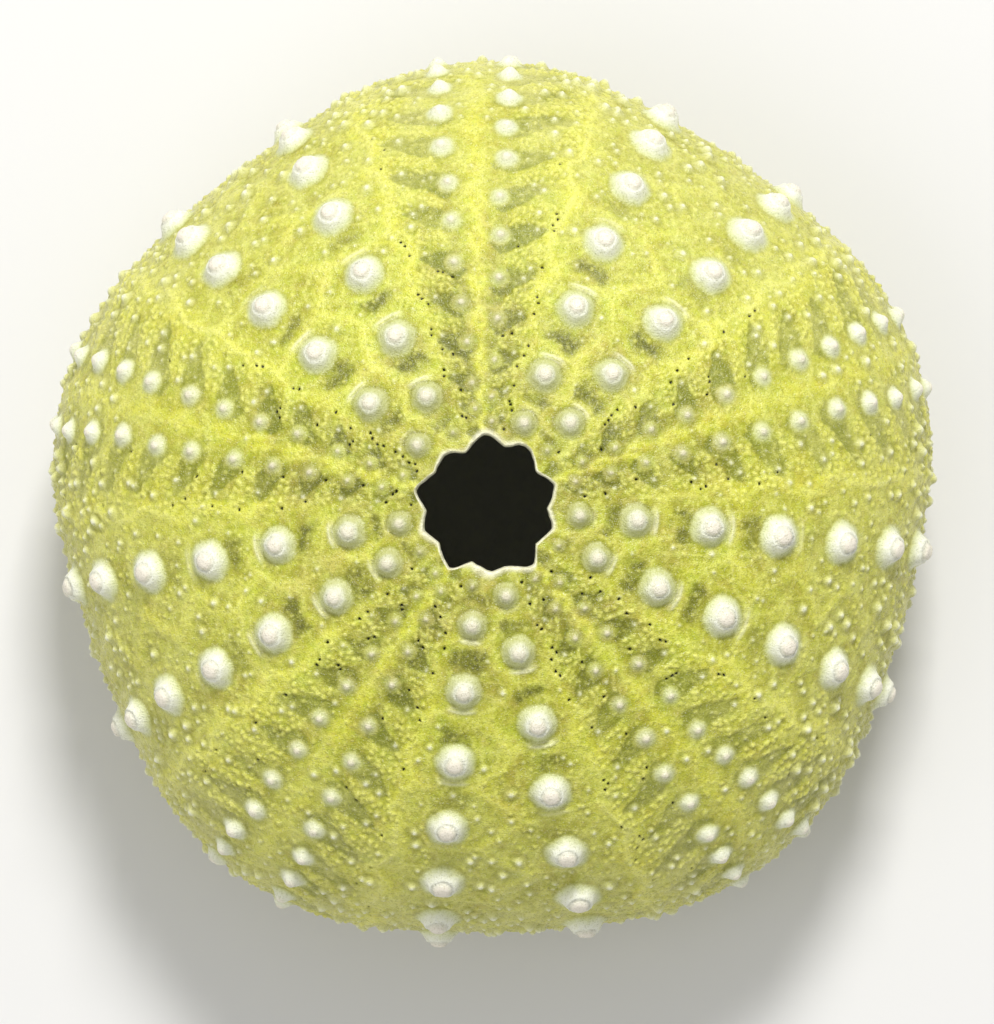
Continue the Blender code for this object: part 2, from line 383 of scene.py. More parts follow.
def plate_wide():
    """Sutures, lips, patches and bands of the wide plates."""
    steps = np.arange(len(WIDE_ARCS)) - 1.0
    turns = np.interp(wide_arc, WIDE_ARCS, steps)
    height = 1.0 / np.interp(wide_arc, WIDE_ARCS, np.gradient(steps, WIDE_ARCS))
    seam_turns = turns + PLATE_HEAD
    zigzag = side * WIDE_ZIGZAG * np.clip(1.3 * triangle_wave(seam_turns), -1, 1)
    wander = 0.25 * ripple + 0.08 * ripple_fine + 0.4 * broad_ripple
    to_zigzag = mm_across(wide_offset - zigzag) + wander
    column = np.where(to_zigzag > 0, 1, -1)
    seam_turns = seam_turns - np.where(column == side, 0.0, 0.5)
    across = mm_across(np.abs(wide_offset) - WIDE_COLUMN)
    part = np.mod(seam_turns + 0.10 * broad_ripple + 0.05 * ripple, 1.0)
    to_seam = np.minimum(part, 1 - part) * height
    zone = wide_zone
    fade = np.interp(arc, [4.0, 9.0, 14.0, 19.0, 25.0], [0.7, 1.0, 0.95, 0.45, 0.1])
    head = np.interp(arc, [6.0, 9.0], [0.0, 0.12])
    patch = window(part - head + 0.06 * ripple, 0.0, 0.22, 0.18)
    patch *= window(across + 0.35 * ripple, -1.0, 1.0, 0.6)
    mottle = np.clip(0.95 + 0.4 * ripple + 0.35 * ripple_fine, 0, 1)
    masks["patch"] += zone * fade * patch * mottle
    growth = np.exp(-(np.sin(to_zigzag * 9.0 + 1.5 * ripple) / 0.35) ** 2)
    growth *= np.exp(-(to_zigzag / 0.9) ** 2)
    masks["line"] += zone * 0.3 * growth
    veins = np.maximum(np.exp(-(to_seam / 0.15) ** 2), np.exp(-(to_zigzag / 0.17) ** 2))
    veins *= np.clip(0.55 + 1.4 * broad_ripple + 0.6 * ripple, 0, 1)
    veins *= np.interp(arc, [6.0, 10.0, 16.0, 22.0], [0.3, 0.8, 0.8, 0.35])
    masks["line"] += zone * 0.7 * veins
    middle = np.exp(-(to_zigzag / 0.6) ** 2)
    middle *= np.interp(arc, [5.0, 10.0, 26.0, 34.0], [0.4, 0.8, 0.6, 0.3])
    seams = np.exp(-(to_seam / 0.4) ** 2) * np.interp(arc, [8.0, 20.0, 30.0], [0.6, 0.4, 0.15])
    uneven = np.clip(0.8 + 0.7 * broad_ripple, 0.2, 1.2)
    masks["band"] += zone * np.maximum(middle, seams) * uneven
    lift[:] += zone * (0.03 * seams + 0.015 * growth)
    lift[:] += zone * 0.05 * np.cos(np.pi * np.clip(to_zigzag / 1.2, -1, 1))


def plate_narrow():
    """Patches, bands and sutures of the narrow plates and their pore zones."""
    steps = np.arange(len(NARROW_ARCS)) - 2.0
    across = mm_across(np.abs(narrow_offset) - NARROW_COLUMN)
    slid = arc - NARROW_SLOPE * np.clip(across, -0.3, None)
    turns = np.interp(settled(slid, NARROW_SHIFT[nearest_ambulacrum]), NARROW_ARCS, steps)
    turns -= np.where(narrow_offset > 0, 0.0, 0.5)
    part = turns - np.round(turns)
    chance = np.random.default_rng(5).random((3, 5, 2, len(NARROW_ARCS) + 4))
    plate = np.round(turns).astype(int) + 3
    strength, end, nudge = chance[:, nearest_ambulacrum, (narrow_offset > 0) * 1, plate]
    to_zigzag = mm_across(narrow_offset) + NARROW_ZIGZAG * triangle_wave(turns) * 0.25
    zone = 1.0 - wide_zone
    reach = np.abs(narrow_offset)
    reach_end = 13.0 + 2.4 * end
    taper = 0.38 * np.sqrt(np.clip((reach_end - reach) / 7.5, 0.0, 1.0))
    taper *= np.clip((reach - 2.2) / 3.0, 0, 1)
    centred = np.mod(part + 0.62 + 0.1 * (nudge - 0.5), 1.0) - 0.5
    edge = np.abs(centred + 0.08 * ripple) + 0.05 * ripple_fine
    patch = window((taper - edge) / 0.15, 0.45, 9.0, 0.8)
    shade = 0.3 * window(reach, 3.6, 12.0, 3.5) * np.clip(1 + ripple, 0, 1)
    mottle = np.clip(1.0 + 0.25 * ripple + 0.25 * ripple_fine, 0, 1)
    mottle *= np.interp(reach, [8.0, 14.0], [1.0, 0.85])
    deep = np.interp(arc, [4.5, 7.0, 12.0, 17.0, 24.0], [1.0, 1.2, 1.05, 0.6, 0.2])
    pale = np.interp(arc, [10.0, 15.0, 24.0, 34.0], [0.1, 0.9, 1.0, 0.6])
    masks["patch"] += zone * deep * np.maximum(patch * mottle * (0.7 + 0.3 * strength), shade)
    masks["sage"] += zone * pale * patch * mottle * (0.75 + 0.25 * strength)
    width = np.interp(arc, [5, 12, 20, 34], [0.25, 0.42, 0.6, 0.8])
    middle = np.exp(-((to_zigzag + 0.1 * ripple) / width) ** 2)
    past_pores = window(reach, 14.6, 90.0, 2.0)
    between = window(np.abs(centred), 0.33, 0.9, 0.16) * window(reach, 6.5, 15.0, 2.0)
    bright = np.interp(arc, [6.0, 10.0, 15.0, 20.0], [0.15, 0.5, 1.0, 1.2])
    bands = [0.6 * between * bright, 0.9 * middle, 0.7 * past_pores * bright]
    masks["band"] += zone * np.maximum.reduce(bands)
    masks["narrow"] += zone
    lift[:] += zone * (0.03 * between + 0.05 * middle - 0.05 * patch)


def adradial_seam():
    """Bright scalloped seam between the wide and the narrow plates."""
    width = np.interp(arc, [6.0, 18.0, 26.0], [0.3, 0.62, 0.85]) * (1 + 0.2 * adradial_swing)
    bright = np.interp(arc, [6.0, 10.0, 15.0, 20.0], [0.1, 0.32, 0.82, 1.3])
    lumps = np.clip(1.03 + 0.48 * ripple + 0.25 * ripple_fine, 0, 1.3) * bright
    masks["band"] += np.exp(-(to_adradial / width) ** 2) * lumps
    core = np.exp(-((to_adradial + 0.1 * ripple_fine) / 0.22) ** 2)
    masks["line"] += 0.65 * core * np.clip(lumps - 0.3, 0, 1)
    lift[:] += 0.07 * np.exp(-(to_adradial / 0.4) ** 2) * lumps


def show(name, found, amount):
    """Raise a mask to at least that amount at some points."""
    masks[name][found] = np.maximum(masks[name][found], amount)


def stamp_boss(place_azimuth, place_arc, foot, rise, look):
    """Primary tubercle: moat, flaring skirt, crest ring and rounded mamelon, with its colours.

    Without a lip it is a lesser one: high on the shell a low cone with a narrow mamelon
    and softer colours, and more like the others towards the girth.  Places and heights
    are shares of the foot, and look gives each colour mask's strength.
    """
    found, across, down = rows.near(place_azimuth, place_arc, foot * 1.9)
    if len(found) == 0:
        return
    small = ("lip" not in look) * float(np.interp(place_arc, [17.0, 25.0], [1.0, 0.2]))
    angle = np.arctan2(across, down)
    lobed = 1.0 + 0.02 * np.sin(angle * 5 + 9 * place_arc)
    lobed = lobed + 0.02 * np.sin(angle * 3 + place_azimuth)
    out = np.hypot(across, down) / foot / lobed
    moat = -0.02 * foot * (1 - small) * np.exp(-((out - 1.10) / 0.14) ** 2)
    skirt = 0.47 * np.clip((1.0 - out) / (0.45 + 0.3 * small), 0, 1) ** 1.5
    crest = 0.035 * np.exp(-((out - 0.54) / 0.07) ** 2)
    crest = crest - 0.012 * np.exp(-((out - 0.44) / 0.05) ** 2)
    crest = crest * (1 - small)
    mamelon = 0.26 * np.sqrt(np.clip(1 - (out / (0.42 - 0.08 * small)) ** 2.5, 0, 1))
    rings = 0.006 * np.sin(out * 42.0) * window(out, 0.5, 0.95, 0.1)
    # Two short lips curve round the lower side, just outside the foot
    bend = (0.6 * down / foot + 0.4 * out - 1.06) / 0.055
    below = np.maximum(0.6 * np.exp(-(bend / 1.3) ** 2), np.exp(-((bend - 3.3) / 1.9) ** 2))
    below *= window(across / foot + 0.1 * ripple[found], -0.7, 0.7, 0.6)
    calm = np.clip((1.7 - out) / 0.6, 0, 1)
    lift[found] = lift[found] * (1 - calm) + foot * rise * (skirt + crest + mamelon + rings) + moat
    lift[found] += 0.06 * look.get("lip", 0.0) * below
    busy[found] = np.maximum(busy[found], out < 1.15)
    for name in ("band", "line", "patch", "sage"):
        masks[name][found] *= np.clip((out - 0.8) / 0.35, 0, 1)
    stretch = float(np.interp(place_arc, [14.0, 22.0], [0.0, 0.08]))
    spread = out / (1.0 + stretch * (0.5 + np.cos(angle))) + 0.05 * ripple_fine[found]
    broad = float(np.interp(place_arc, [9.0, 16.0], [0.60, 0.76]))
    cap = float(np.interp(foot, [0.5, 0.9], [0.27, 0.38]))
    marks = {
        "skirt": window(spread, -1, 0.97 - 0.15 * small, 0.27 + 0.4 * small),
        "crest": window(spread, -1, broad - 0.12 * small, 0.34 + 0.25 * small),
        "mamelon": window(out, -1, cap, 0.16),
        # Painted shade: a dark ring in the moat round the foot, darkest on the outward side
        "foot_shade": np.exp(-((out - 1.03) / 0.09) ** 2) * (1.0 + 2.0 * window(angle, -1.0, 1.0, 0.9)),
        # Painted shade: a dark ring in the groove round the mamelon
        "groove_shade": np.exp(-((out - 0.43) / 0.06) ** 2),
        "lip": below,
    }
    for name, share in look.items():
        show(name, found, share * marks[name])


def stamp_knob(place_azimuth, place_arc, foot):
    """Small tubercle: a low uneven cone and a rounded tip, steeper near the girth."""
    found, across, down = rows.near(place_azimuth, place_arc, foot * 1.7)
    if len(found) == 0 or busy[found].max() > 0.9 and busy[found].mean() > 0.25:
        return
    out = np.hypot(across, down) / foot * (1 + 0.18 * ripple_fine[found])
    rise = float(np.interp(place_arc, [16.0, 28.0], [0.36, 0.62]))
    cone = rise * np.clip(1.0 - out, 0, 1) ** 1.2 * 0.6
    tip = rise * np.sqrt(np.clip(1 - (out / 0.55) ** 2, 0, 1)) * 0.5
    moat = -0.05 * np.exp(-((out - 1.15) / 0.22) ** 2)
    lift[found] += foot * (cone + tip + moat)
    busy[found] = np.maximum(busy[found], 0.8 * (out < 1.25))
    bright = float(np.interp(foot, [0.12, 0.32], [0.35, 1.0]) * rng.uniform(0.7, 1.0))
    tint = window(out, -1, 0.75, 0.7) * np.interp(place_arc, [6.0, 18.0, 28.0], [0.3, 0.45, 0.9])
    show("knob", found, bright * tint)
    show("crest", found, 0.8 * bright * window(out, -1, 0.32, 0.36))
    # Painted shade: a faint dark ring round the knob's foot
    show("foot_shade", found, 0.16 * np.exp(-((out - 1.0) / 0.22) ** 2))


def stamp_granules(places, feet, rise, mark):
    """Many fine grains, each a rounded bump."""
    for (place_azimuth, place_arc), foot in zip(places, feet):
        found, across, down = rows.near(place_azimuth, place_arc, foot)
        if len(found) == 0:
            continue
        dome = np.clip(1 - (across ** 2 + down ** 2) / foot ** 2, 0, 1)
        lift[found] += rise * foot * dome
        show("grain", found, mark * dome)


def stamp_pore(place_azimuth, place_arc, foot):
    """One pore: a pit with a faint raised lip."""
    found, across, down = rows.near(place_azimuth, place_arc, foot * 2.2)
    if len(found) == 0 or busy[found].max() > 0.9:
        return
    out = np.hypot(across, down) / foot
    lift[found] += -0.25 * np.exp(-out ** 4) + 0.03 * np.exp(-((out - 1.6) / 0.35) ** 2)
    show("pore", found, np.clip(1.5 - out, 0, 1))


def half_way(arcs):
    return (arcs[:-1] + arcs[1:]) / 2


def foot_at(place_arc, feet):
    return float(np.interp(place_arc, FOOT_ARC, feet))


def jitter(size):
    return float(rng.normal(0.0, size))


def on_shell(place_arc, margin):
    """True where a feature clears both openings."""
    return HOLE_NOTCH + margin < place_arc < MOUTH_MEAN - margin


def wide_features(axis, first_side, shift):
    """Tubercles of one interambulacrum."""
    youngest = {"skirt": 0.7, "mamelon": 0.4, "foot_shade": 0.2}
    stamp_boss(axis - first_side * 13.5, 4.55, 0.42, 0.9, youngest)
    columns = ((first_side, WIDE_ARCS), (-first_side, half_way(WIDE_ARCS)))
    for column, arcs in columns:
        for place in arcs:
            place = shifted(place, shift)
            if not on_shell(place, 0.7):
                continue
            degree = math.degrees(1.0 / float(radius_at(place)))
            at = axis + column * WIDE_COLUMN + jitter(0.05) * degree
            foot = foot_at(place, WIDE_FOOT) * (1 + jitter(0.02))
            look = {"skirt": 1.0}
            for name, stops, shares in (
                ("crest", [5.0, 8.0, 12.0, 17.0], [0.25, 0.6, 0.85, 1.0]),
                ("mamelon", [8.0, 15.0], [0.6, 0.85]),
                ("lip", [5.0, 7.0, 14.0, 19.0], [0.3, 1.0, 0.9, 0.2]),
                ("foot_shade", [5.0, 12.0, 20.0], [0.3, 0.12, 0.08]),
                ("groove_shade", [8.0, 15.0], [0.1, 0.35]),
            ):
                look[name] = float(np.interp(place, stops, shares))
            stamp_boss(at, place + jitter(0.04), foot, 1.0, look)
    for column, arcs in columns:
        for place, step in zip(arcs[1:], np.diff(arcs)):
            place = shifted(place, shift)
            degree = math.degrees(1.0 / float(radius_at(place)))
            middle = axis + column * WIDE_COLUMN
            head = place - 0.50 * step
            small = foot_at(place, SMALL_FOOT)
            # Azimuth, arc and size share of each small tubercle on the plate
            spots = [
                (middle - 1.5 * degree, head, 0.62), (middle + 1.5 * degree, head, 0.62),
                (axis + column * 3.3, place + 0.02 * step, 0.95),
                (axis + column * 16.7, place + 0.12 * step, 0.85),
            ]
            if place > 15.0:
                spots.append((middle, head - 0.02 * step, 0.45))
                spots.append((axis + column * 5.6, place - 0.30 * step, 0.5))
                spots.append((axis + column * 14.6, place - 0.30 * step, 0.6))
            if place > 24.0:
                spots.append((axis + column * 5.0, place + 0.28 * step, 0.55))
                spots.append((axis + column * 15.5, place + 0.36 * step, 0.55))
                spots.append((axis + column * 1.2, place - 0.25 * step, 0.5))
            for at, down, share in spots:
                if on_shell(down, 0.5) and rng.random() < 0.8:
                    at += jitter(0.25) * degree
                    stamp_knob(at, down + jitter(0.25), small * share * (1 + jitter(0.15)))


def narrow_features(axis, shift):
    """Tubercles and pore arcs of one ambulacrum."""
    columns = ((1, NARROW_ARCS), (-1, half_way(NARROW_ARCS)))
    for column, arcs in columns:
        for place in arcs:
            place = shifted(place, shift)
            if on_shell(place, 0.4):
                foot = foot_at(place, NARROW_FOOT) * (1 + jitter(0.03))
                at = axis + column * NARROW_COLUMN + jitter(0.25)
                look = {}
                for name, shares in (
                    ("skirt", [0.35, 0.5, 0.7, 1.0]),
                    ("crest", [0.05, 0.15, 0.3, 0.8]),
                    ("mamelon", [0.5, 0.65, 0.7, 0.7]),
                ):
                    look[name] = float(np.interp(place, [6.0, 12.0, 18.0, 25.0], shares))
                rise = float(np.interp(place, [8.0, 16.0, 25.0], [0.6, 0.65, 1.0]))
                stamp_boss(at, place + jitter(0.1), foot, rise, look)
    for column, arcs in columns:
        for place, step in zip(arcs[1:], np.diff(arcs)):
            place = shifted(place, shift)
            width = float(radius_at(place))

            def spot(offset, down):
                """Place so many degrees off the axis and plates down."""
                slid = NARROW_SLOPE * math.radians(offset - NARROW_COLUMN) * width
                return axis + column * offset, place + slid + down * step

            small = foot_at(place, SMALL_FOOT)
            at, down = spot(12.2 + jitter(0.6), jitter(0.05))
            if on_shell(down, 0.3):
                stamp_knob(at, down, small * 0.8)
            if place > 8.0:
                at, down = spot(9.0 + jitter(0.6), -0.12 + jitter(0.07))
                stamp_knob(at, down, small * 0.42)
            if place > 22.0:
                at, down = spot(2.2 + jitter(0.2), 0.45)
                stamp_knob(at, down, small * 0.55)
                at, down = spot(15.4 + jitter(0.3), 0.3 + jitter(0.08))
                stamp_knob(at, down, small * 0.6)
            pore_foot = float(np.interp(place, [5, 14, 24, 40], [0.085, 0.08, 0.07, 0.07]))
            shown = float(np.interp(place, [5, 12, 20, 28], [0.36, 0.36, 0.14, 0.05]))
            # Pore pairs: degrees off the axis, plates down, and how steeply the pair lies
            for offset, down, tilt in ((6.9, -0.42, 0.6), (9.4, -0.40, 0.3), (13.9, -0.28, 1.0),
                                       (15.4, -0.02, 0.9), (15.9, 0.26, 0.9)):
                at, at_arc = spot(offset + jitter(0.15), down + jitter(0.02))
                if not on_shell(at_arc, 0.2):
                    continue
                apart = 0.17 if place < 24.0 else 0.14
                turn = math.degrees(apart * (1 - 0.7 * tilt) / width)
                for way in (-1, 1):
                    if rng.random() < shown:
                        stamp_pore(at + way * turn, at_arc + way * apart * tilt, pore_foot)


def granule_places(gap, low, high, share):
    """Places on a shaken grid between two arcs, a share of them kept."""
    places = []
    for row_arc in np.arange(low, high, gap):
        number = int(2 * math.pi * radius_at(row_arc) / gap)
        turn = (np.arange(number) + rng.random(number)) * 360.0 / number
        shaken = row_arc + gap * 0.45 * (2 * rng.random(number) - 1)
        keep = rng.random(number) < share
        places.append(np.stack([turn, shaken], axis=1)[keep])
    places = np.concatenate(places)
    found = rows.nearest(places[:, 0], places[:, 1])
    return places, found


def scatter_knobs():
    """Loose small tubercles, more and larger towards the ambitus and below it."""
    places, found = granule_places(1.1, 12.0, MOUTH_MEAN - 0.8, 0.85)
    shares = np.interp(places[:, 1], [12.0, 22.0, 28.0], [0.15, 0.4, 1.0])
    for (place_azimuth, place_arc), point, share in zip(places, found, shares):
        if busy[point] < 0.1 and rng.random() < share:
            small = foot_at(place_arc, SMALL_FOOT)
            size = rng.choice((0.45, 0.6, 0.75, 0.8 + 0.4 * share))
            stamp_knob(place_azimuth, place_arc, small * size)


def granule_rows(axis, shift):
    """Rows of fine grains along both edges of each narrow plate, like the teeth of a comb."""
    places = []
    for column, arcs in ((1, NARROW_ARCS), (-1, half_way(NARROW_ARCS))):
        for place, step in zip(arcs[1:], np.diff(arcs)):
            place = shifted(place, shift)
            width = float(radius_at(place))
            gap = float(np.interp(place, [7.0, 14.0], [0.22, 0.33]))
            for row in (0.18, 0.32, 0.46, 0.60):
                low, high = 6.2 + 3.0 * abs(row - 0.39) + rng.uniform(0.0, 1.5), 16.2
                offsets = np.arange(low, high, math.degrees(gap * rng.uniform(0.9, 1.2) / width))
                offsets = offsets + rng.normal(0.0, 0.07 * math.degrees(1 / width), len(offsets))
                slid = NARROW_SLOPE * np.radians(offsets - NARROW_COLUMN) * width
                spread = (row - 0.39 + jitter(0.03)) * np.interp(offsets, [8.0, 14.5], [1.0, 1.5])
                wiggle = 0.06 * np.sin(offsets * rng.uniform(0.8, 1.4) + rng.uniform(0.0, 6.0))
                down = place + slid + (0.39 + spread) * step + wiggle
                down = down + rng.normal(0.0, 0.05, len(offsets))
                places.append(np.stack([axis + column * offsets, down], axis=1))
    places = np.concatenate(places)
    on = (places[:, 1] > HOLE_NOTCH + 0.6) & (places[:, 1] < MOUTH_MEAN - 0.5)
    return places[on & (rng.random(len(places)) < 0.8)]


def scatter_granules():
    """Fine grains: comb rows on the narrow plates, and sparse ones everywhere."""
    for number in range(5):
        axis = FIRST_AMBULACRUM + PERIOD * number
        places = granule_rows(axis, NARROW_SHIFT[number])
        found = rows.nearest(places[:, 0], places[:, 1])
        clear = (busy[found] < 0.4) & (masks["pore"][found] < 0.1)
        clear &= masks["patch"][found] + masks["sage"][found] < 0.4
        feet = np.interp(places[:, 1], [7.0, 14.0], [0.12, 0.155])
        feet = feet * rng.uniform(0.8, 1.2, len(places))
        stamp_granules(places[clear], feet[clear], 0.58, 1.0)
    places, found = granule_places(0.75, HOLE_NOTCH + 0.8, MOUTH_MEAN - 0.5, 0.6)
    clear = (busy[found] < 0.4) & (masks["pore"][found] < 0.1)
    grow = np.interp(places[:, 1], [6, 20, 32, 50], [0.12, 0.14, 0.18, 0.16])
    feet = grow * rng.uniform(0.75, 1.3, len(places))
    stamp_granules(places[clear], feet[clear], 0.5, 0.6)


def fine_relief():
    """Creases and gentle unevenness of the plates, and the small-scale grain of the calcite."""
    calm = 1 - 0.8 * masks["mamelon"]
    for cell, seed, size in ((1.1, 31, 0.030), (0.6, 32, 0.016)):
        crease = (1 - np.abs(2 * noise(ground, cell, seed) - 1)) ** 7 * (1 - masks["skirt"])
        lift[:] += size * crease
        masks["line"] = np.maximum(masks["line"], 0.5 * crease * (1 - masks["patch"]))
    for cell, seed, size in ((2.2, 21, 0.05), (0.5, 22, 0.035), (0.22, 23, 0.022)):
        lift[:] += calm * size * (noise(ground, cell, seed) - 0.5)


def proud(reach):
    """How far each point stands above the skin that far around it, in mm."""
    nominal = rows.outer[rows.row[outer]]
    total = np.zeros(len(lift))
    for turn in range(8):
        angle = math.pi * turn / 4
        degrees = np.degrees(reach * math.cos(angle) / radius)
        total += lift[rows.nearest(azimuth + degrees, nominal + reach * math.sin(angle))]
    return lift - total / 8


plate_wide()
plate_narrow()
adradial_seam()
masks["low"] = np.interp(arc, [14.0, 20.0, 26.0, 33.0, 50.0], [0.0, 0.3, 0.6, 0.9, 1.0])
masks["top"] = np.interp(arc, [4.0, 8.0, 14.0], [1.0, 0.6, 0.0])
narrow_top = np.interp(arc, [7.0, 12.0, 17.0], [0.7, 0.6, 0.0])
masks["top"] += (1 - masks["top"]) * masks["narrow"] * narrow_top
for number in range(5):
    ambulacrum = FIRST_AMBULACRUM + PERIOD * number
    wide_features(ambulacrum + PERIOD / 2, int(FIRST_SIDE[number]), WIDE_SHIFT[number])
    narrow_features(ambulacrum, NARROW_SHIFT[number])
scatter_knobs()
scatter_granules()
fine_relief()
FULL_RELIEF = 0.06      # mm above or below its surroundings at which a point is fully tinted
near_relief, far_relief = proud(0.2), proud(0.4)
depression = -np.minimum(near_relief, 0.6 * far_relief)
# Painted highlight: points standing above their surroundings are made paler in the material
masks["raised"] = np.clip(near_relief / FULL_RELIEF, 0.0, 1.0) * (1 - masks["skirt"])
# Painted shade: points sunk below their surroundings are made darker in the material
masks["crevice_shade"] = np.clip(depression / FULL_RELIEF, 0.0, 1.0) * (1 - masks["skirt"])


def lining_relief():
    """Soft plate ridges and pore rows of the inner face."""
    inner = slice(rows.outer_points, count)
    turn = np.mod(rows.azimuth[inner] - FIRST_AMBULACRUM, PERIOD)
    off = np.minimum(turn, PERIOD - turn)
    ridge = np.exp(-((off - ADRADIAL) / 1.2) ** 2) + np.exp(-(off / 1.0) ** 2)
    return 0.06 * ridge


depth = rows.depth.copy()
depth[outer] = -lift
depth[rows.outer_points:] += lining_relief() * (depth[rows.outer_points:] > RIM_WALL * 1.01)
points = skin(rows.azimuth, rows.arc, -depth)

# The solid's top is the tip of its highest wide tubercle, which sets the height of the girth
FIRST_TIP = 0.547       # mm above the skin
tip_arc = shifted(WIDE_ARCS[1], min(WIDE_SHIFT))
tip_height = np.interp(tip_arc, ARC, ARC_HEIGHT) + FIRST_TIP * np.interp(tip_arc, ARC, ARC_RUN)
girth_height = cad_box[1].z / MM - tip_height
points[:, 2] = np.maximum(points[:, 2] + girth_height, 0.0)
points *= MM


def fifth_faces():
    """Triangles of one fifth, as row, column and island for each corner."""
    corners, islands = [], []
    for upper, lower, first, second in rows.faces():
        first_rows = np.array([upper, lower, upper])
        second_rows = np.array([upper, lower, lower])
        corners.append(np.stack([np.broadcast_to(first_rows, first.shape), first], axis=2))
        corners.append(np.stack([np.broadcast_to(second_rows, second.shape), second], axis=2))
        outside = upper < rows.last_outer - 1
        islands.append(np.full(len(first) + len(second), outside))
    return np.concatenate(corners), np.concatenate(islands)


corners, outside = fifth_faces()
fifth_sizes = rows.sizes // 5


def numbers_in(fifth_number):
    """Point numbers of each triangle's corners in that fifth."""
    row, column = corners[:, :, 0], corners[:, :, 1]
    column = (column + fifth_number * fifth_sizes[row]) % rows.sizes[row]
    return rows.starts[row] + column


def point_normals():
    """Normals of the whole shell, so that no seam shows between the fifths."""
    normals = np.zeros((count, 3))
    for number in range(5):
        triangles = numbers_in(number)
        a, b, c = (points[triangles[:, i]] for i in range(3))
        face = np.cross(b - a, c - a)
        for corner in range(3):
            for axis in range(3):
                normals[:, axis] += np.bincount(triangles[:, corner], face[:, axis], count)
    return normals / np.linalg.norm(normals, axis=1)[:, None]


normals = point_normals()
all_masks = {}
for name in MASKS:
    all_masks[name] = np.zeros(count)
    all_masks[name][outer] = np.clip(masks[name], 0.0, 1.0)
all_masks["lining"] = np.zeros(count)
all_masks["lining"][rows.outer_points:] = 1.0
rim_width = np.clip(0.20 + 0.45 * ring_noise(rows.azimuth, 14, 8), 0.06, 0.7)
rim_reach = (rows.arc - hole_arc(rows.azimuth)) / rim_width
rim_fade = np.clip(1.0 - 0.25 * rim_reach, 0.0, 1.0)
all_masks["rim"] = np.clip(1.2 - rim_reach, 0.0, 1.0) * rim_fade


# Share of the flat map's width that the outside takes, and the bare border round each half
OUTER_SHARE = 0.66
BORDER = 0.005


def flat_map():
    """Flat places of one fifth's triangle corners: the outside and the lining side by side."""
    row, column = corners[:, :, 0], corners[:, :, 1]
    share = column / fifth_sizes[row]
    walked = np.zeros(len(rows.sizes) + 1)
    lining_rows = len(rows.sizes) - rows.last_outer + 1
    walked[rows.last_outer - 1:] = np.linspace(0.0, 1.0, lining_rows + 1)
    upper = row.min(axis=1)
    closing = (row.max(axis=1) - upper) > 1
    place = np.where(closing[:, None] & (row == 0), len(rows.sizes), row)
    row_arc = rows.outer[np.minimum(row, rows.last_outer - 1)]
    v_out = (row_arc - HOLE_MEAN) / (MOUTH_MEAN - HOLE_MEAN)
    v = np.where(outside[:, None], v_out, walked[place])
    u_out = BORDER + (OUTER_SHARE - 2 * BORDER) * share
    u_in = OUTER_SHARE + BORDER + (1 - OUTER_SHARE - 2 * BORDER) * share
    u = np.where(outside[:, None], u_out, u_in)
    return np.stack([u, BORDER + (1 - 2 * BORDER) * v], axis=2)


def build_fifth(number, material):
    """One fifth of the shell as a mesh with its masks, normals and flat map."""
    triangles = numbers_in(number)
    used, local = np.unique(triangles, return_inverse=True)
    local = local.reshape(-1).astype(np.int32)
    mesh = bpy.data.meshes.new(f"shell_fifth_{number + 1}")
    mesh.vertices.add(len(used))
    mesh.vertices.foreach_set("co", points[used].astype(np.float32).ravel())
    mesh.loops.add(len(local))
    mesh.loops.foreach_set("vertex_index", local)
    mesh.polygons.add(len(triangles))
    mesh.polygons.foreach_set("loop_start", np.arange(0, len(local), 3, dtype=np.int32))
    mesh.polygons.foreach_set("use_smooth", np.ones(len(triangles), dtype=bool))
    mesh.update(calc_edges=True)
    for name, values in all_masks.items():
        layer = mesh.attributes.new(name, "FLOAT", "POINT")
        layer.data.foreach_set("value", values[used].astype(np.float32))
    flat = mesh.uv_layers.new(name="OFBake")
    flat.uv.foreach_set("vector", flat_map().astype(np.float32).ravel())
    mesh.normals_split_custom_set_from_vertices(normals[used].astype(np.float32))
    mesh.materials.append(material)
    piece = bpy.data.objects.new(mesh.name, mesh)
    bpy.context.scene.collection.objects.link(piece)
    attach(piece, "root")
    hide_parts("shell")


